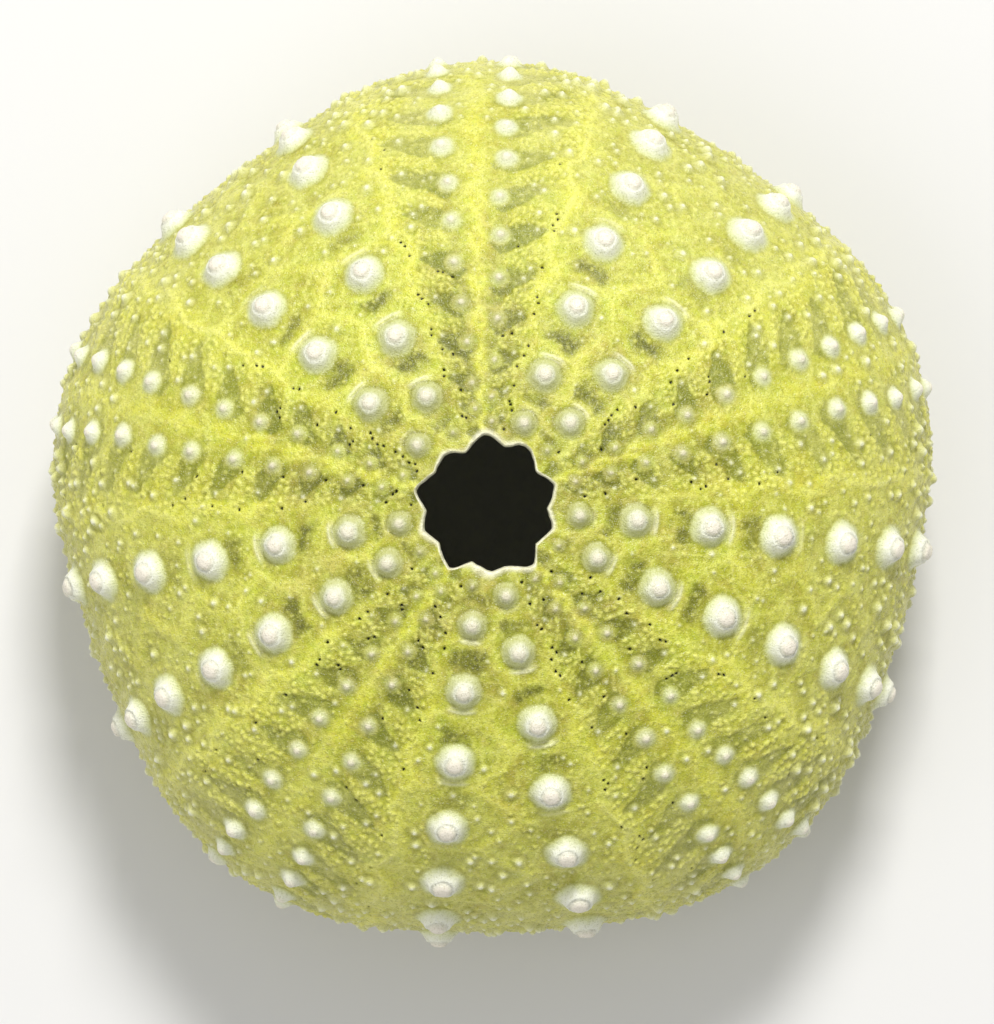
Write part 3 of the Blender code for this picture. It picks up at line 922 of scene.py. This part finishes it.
class Nodes:
    """Short helpers for building a material's node tree."""

    def __init__(self, name):
        self.material = bpy.data.materials.new(name)
        self.material.use_nodes = True
        self.tree = self.material.node_tree
        self.shader = self.tree.nodes["Principled BSDF"]

    def add(self, kind, **settings):
        node = self.tree.nodes.new(kind)
        for key, value in settings.items():
            setattr(node, key, value)
        return node

    def join(self, source, target):
        self.tree.links.new(source, target)

    def mask(self, name):
        return self.add("ShaderNodeAttribute", attribute_name=name).outputs["Fac"]

    def noise(self, scale, detail, rough):
        node = self.add("ShaderNodeTexNoise")
        node.inputs["Scale"].default_value = scale
        node.inputs["Detail"].default_value = detail
        node.inputs["Roughness"].default_value = rough
        self.join(self.place, node.inputs["Vector"])
        return node.outputs["Fac"]

    def ramp(self, source, low, high, to_low=0.0, to_high=1.0):
        node = self.add("ShaderNodeMapRange", clamp=True)
        limits = {"From Min": low, "From Max": high, "To Min": to_low, "To Max": to_high}
        for key, value in limits.items():
            node.inputs[key].default_value = value
        self.join(source, node.inputs["Value"])
        return node.outputs["Result"]

    def math(self, kind, first, second):
        node = self.add("ShaderNodeMath", operation=kind)
        for socket, value in zip(node.inputs, (first, second)):
            if isinstance(value, (int, float)):
                socket.default_value = value
            else:
                self.join(value, socket)
        return node.outputs["Value"]

    def blend(self, under, over, amount):
        node = self.add("ShaderNodeMix", data_type="RGBA", clamp_factor=True)
        for socket, value in ((node.inputs[6], under), (node.inputs[7], over)):
            if isinstance(value, tuple):
                socket.default_value = (*linear(value), 1.0)
            else:
                self.join(value, socket)
        self.join(amount, node.inputs["Factor"])
        return node.outputs[2]

    def lay(self, under, over, mask, share):
        """One colour over another where a mask shows, by that share of the mask."""
        return self.blend(under, over, self.math("MULTIPLY", self.mask(mask), share))


def linear(colour):
    """Screen colour from 0 to 255 as linear light."""
    return tuple((c / 255 / 12.92) if c < 10 else ((c / 255 + 0.055) / 1.055) ** 2.4 for c in colour)


# Screen colours of the shell
OLIVE = (142, 145, 32)
LIME = (201, 202, 54)
LEAF = (178, 181, 10)
YELLOW = (219, 219, 62)
# Pale lines, and also painted highlight on points that stand above their surroundings
PALE_LINE_AND_HIGHLIGHT = (238, 236, 132)
KHAKI = (154, 149, 36)
UMBER = (104, 101, 28)
DARK = (66, 66, 0)
GREY_GREEN = (108, 111, 8)
SAGE = (122, 131, 18)
GREENER = (172, 192, 56)
BROWNER = (206, 188, 80)
# Painted shade in the moats round tubercle and knob feet
FOOT_SHADE = (112, 112, 26)
SKIRT = (214, 218, 164)
OLD_SKIRT = (186, 187, 118)
WHITE = (242, 242, 224)
CREAM = (236, 224, 206)
# Painted shade in the groove round each mamelon
GROOVE_SHADE = (176, 168, 138)
KNOB = (216, 216, 148)
GRAIN = (226, 225, 96)
# Painted shade in crevices between grains, and dark specks at random
CREVICE_SHADE_AND_SPECK = (122, 126, 14)
# Painted shade: near-black for the dark inside each pore
PORE_SHADE = (12, 11, 4)
TAN = (210, 202, 130)
LINING_PALE = (188, 190, 122)
EDGE = (250, 246, 214)
# Pale lips below tubercles, and painted glints at random
LIP_WHITE_AND_GLINT = (252, 250, 226)


def calcite_material():
    """Yellow-green calcite with darker patches, pale seams and white tubercles."""
    n = Nodes("urchin_calcite")
    n.place = n.add("ShaderNodeTexCoord").outputs["Object"]
    # Noises, coarse to fine, in cells per metre
    broad = n.noise(420.0, 2.0, 0.65)
    middle = n.noise(1700.0, 3.0, 0.78)
    fine = n.noise(4500.0, 2.0, 0.75)
    grainy = n.noise(11000.0, 1.0, 0.7)
    colour = n.blend(OLIVE, LIME, n.ramp(n.math("ADD", broad, middle), 0.6, 1.2))
    colour = n.lay(colour, LEAF, "narrow", 0.5)
    colour = n.lay(colour, KHAKI, "top", n.ramp(middle, 0.3, 0.6, 0.95, 0.6))
    colour = n.lay(colour, UMBER, "top", n.ramp(broad, 0.54, 0.36, 0.0, 0.8))
    colour = n.lay(colour, YELLOW, "band", n.ramp(middle, 0.3, 0.6, 0.6, 1.0))
    colour = n.blend(colour, GREENER, n.ramp(broad, 0.52, 0.66, 0.0, 0.35))
    colour = n.blend(colour, BROWNER, n.ramp(broad, 0.46, 0.32, 0.0, 0.35))
    colour = n.blend(colour, GREENER, n.ramp(middle, 0.52, 0.66, 0.0, 0.36))
    colour = n.blend(colour, BROWNER, n.ramp(middle, 0.46, 0.32, 0.0, 0.36))
    dark = n.blend(DARK, GREY_GREEN, n.ramp(fine, 0.38, 0.6))
    colour = n.lay(colour, dark, "patch", n.ramp(middle, 0.35, 0.7, 1.0, 0.82))
    colour = n.lay(colour, SAGE, "sage", n.ramp(fine, 0.3, 0.65, 1.0, 0.7))
    colour = n.lay(colour, GRAIN, "grain", 0.5)
    colour = n.lay(colour, PALE_LINE_AND_HIGHLIGHT, "line", n.ramp(middle, 0.3, 0.6, 0.5, 0.9))
    # Painted shade in crevices: points sunk below their surroundings made darker
    colour = n.lay(colour, CREVICE_SHADE_AND_SPECK, "crevice_shade", 0.5)
    # Painted highlight: points standing above their surroundings made paler
    colour = n.lay(colour, PALE_LINE_AND_HIGHLIGHT, "raised", 0.3)
    colour = n.blend(colour, CREVICE_SHADE_AND_SPECK, n.ramp(fine, 0.50, 0.32, 0.0, 0.35))
    colour = n.blend(colour, PALE_LINE_AND_HIGHLIGHT, n.ramp(fine, 0.56, 0.74, 0.0, 0.3))
    # Painted shade in the moat round each tubercle's foot
    colour = n.lay(colour, FOOT_SHADE, "foot_shade", 0.8)
    colour = n.lay(colour, LIP_WHITE_AND_GLINT, "lip", 0.5)
    colour = n.lay(colour, TAN, "low", n.ramp(broad, 0.35, 0.65, 0.1, 0.75))
    colour = n.lay(colour, KNOB, "knob", 0.8)
    skirt = n.blend(SKIRT, OLD_SKIRT, n.mask("top"))
    colour = n.lay(colour, skirt, "skirt", n.ramp(fine, 0.35, 0.6, 0.75, 1.0))
    colour = n.lay(colour, WHITE, "crest", n.ramp(fine, 0.35, 0.6, 0.8, 1.0))
    colour = n.lay(colour, CREAM, "mamelon", 0.85)
    # Painted shade in the groove round each mamelon
    colour = n.lay(colour, GROOVE_SHADE, "groove_shade", 0.7)
    colour = n.blend(colour, CREVICE_SHADE_AND_SPECK, n.ramp(grainy, 0.44, 0.28, 0.0, 0.34))
    # Painted glints: tiny white specks at random
    colour = n.blend(colour, LIP_WHITE_AND_GLINT, n.ramp(grainy, 0.60, 0.78, 0.0, 0.38))
    # Painted shade: pores made near-black for the dark inside the holes
    colour = n.blend(colour, PORE_SHADE, n.ramp(n.mask("pore"), 0.35, 0.65))
    colour = n.blend(colour, LINING_PALE, n.mask("lining"))
    colour = n.lay(colour, EDGE, "rim", n.ramp(middle, 0.35, 0.6, 0.6, 1.0))
    n.join(colour, n.shader.inputs["Base Color"])
    n.join(n.ramp(fine, 0.3, 0.7, 0.18, 0.5), n.shader.inputs["Roughness"])
    bump = n.add("ShaderNodeBump")
    bump.inputs["Strength"].default_value = 0.6
    bump.inputs["Distance"].default_value = 0.00009
    n.join(n.math("ADD", fine, grainy), bump.inputs["Height"])
    n.join(bump.outputs["Normal"], n.shader.inputs["Normal"])
    n.shader.inputs["Specular IOR Level"].default_value = 0.45
    return n.material


shell_material = calcite_material()
for number in range(5):
    build_fifth(number, shell_material)


# Studio, metres and degrees
FLOOR_SIZE = 3.0
LIGHT_AIM = Vector((0.0, 0.0, 0.012))
CAMERA_AIM = Vector((0.00019, -0.00023, 0.011))
CAMERA_AWAY = 0.49
CAMERA_TILT = 1.45
CAMERA_HEADING = -15.0
CAMERA_LENS = 300.0


def add_floor():
    """Plain pale floor."""
    bpy.ops.mesh.primitive_plane_add(size=FLOOR_SIZE, location=(0.0, 0.0, 0.0))
    floor = bpy.context.object
    floor.name = "floor"
    material = bpy.data.materials.new("floor_pale")
    material.use_nodes = True
    shader = material.node_tree.nodes["Principled BSDF"]
    shader.inputs["Base Color"].default_value = (0.74, 0.73, 0.71, 1.0)
    shader.inputs["Roughness"].default_value = 0.8
    floor.data.materials.append(material)


def add_light(name, place, size, watts):
    """Soft square light aimed at the shell."""
    light = bpy.data.lights.new(name, "AREA")
    light.size = size
    light.energy = watts
    lamp = bpy.data.objects.new(name, light)
    lamp.location = place
    lamp.rotation_euler = (LIGHT_AIM - lamp.location).to_track_quat("-Z", "Y").to_euler()
    bpy.context.scene.collection.objects.link(lamp)


def add_world(strength):
    """Even sky light from all round."""
    world = bpy.data.worlds.new("studio")
    world.use_nodes = True
    sky = world.node_tree.nodes["Background"]
    sky.inputs["Color"].default_value = (0.97, 0.98, 1.0, 1.0)
    sky.inputs["Strength"].default_value = strength
    bpy.context.scene.world = world


def add_camera():
    """Long lens looking down on the upper pole, a touch off square, with +Y up."""
    tilt, heading = math.radians(CAMERA_TILT), math.radians(CAMERA_HEADING)
    away = Vector((math.sin(tilt) * math.cos(heading),
                   math.sin(tilt) * math.sin(heading),
                   math.cos(tilt)))
    right = Vector((0.0, 1.0, 0.0)).cross(away).normalized()
    up = away.cross(right)
    camera = bpy.data.cameras.new("camera")
    camera.lens = CAMERA_LENS
    camera.sensor_width = 36.0
    camera.clip_start = 0.01
    viewer = bpy.data.objects.new("camera", camera)
    viewer.location = CAMERA_AIM + away * CAMERA_AWAY
    viewer.rotation_euler = Matrix((right, up, away)).transposed().to_euler()
    bpy.context.scene.collection.objects.link(viewer)
    bpy.context.scene.camera = viewer


add_floor()
add_light("key", (0.06, 0.41, 0.49), 0.15, 3.6)
add_light("fill", (-0.36, -0.26, 0.55), 0.6, 1.05)
add_world(0.52)
add_camera()
bpy.context.scene.view_settings.view_transform = "Standard"
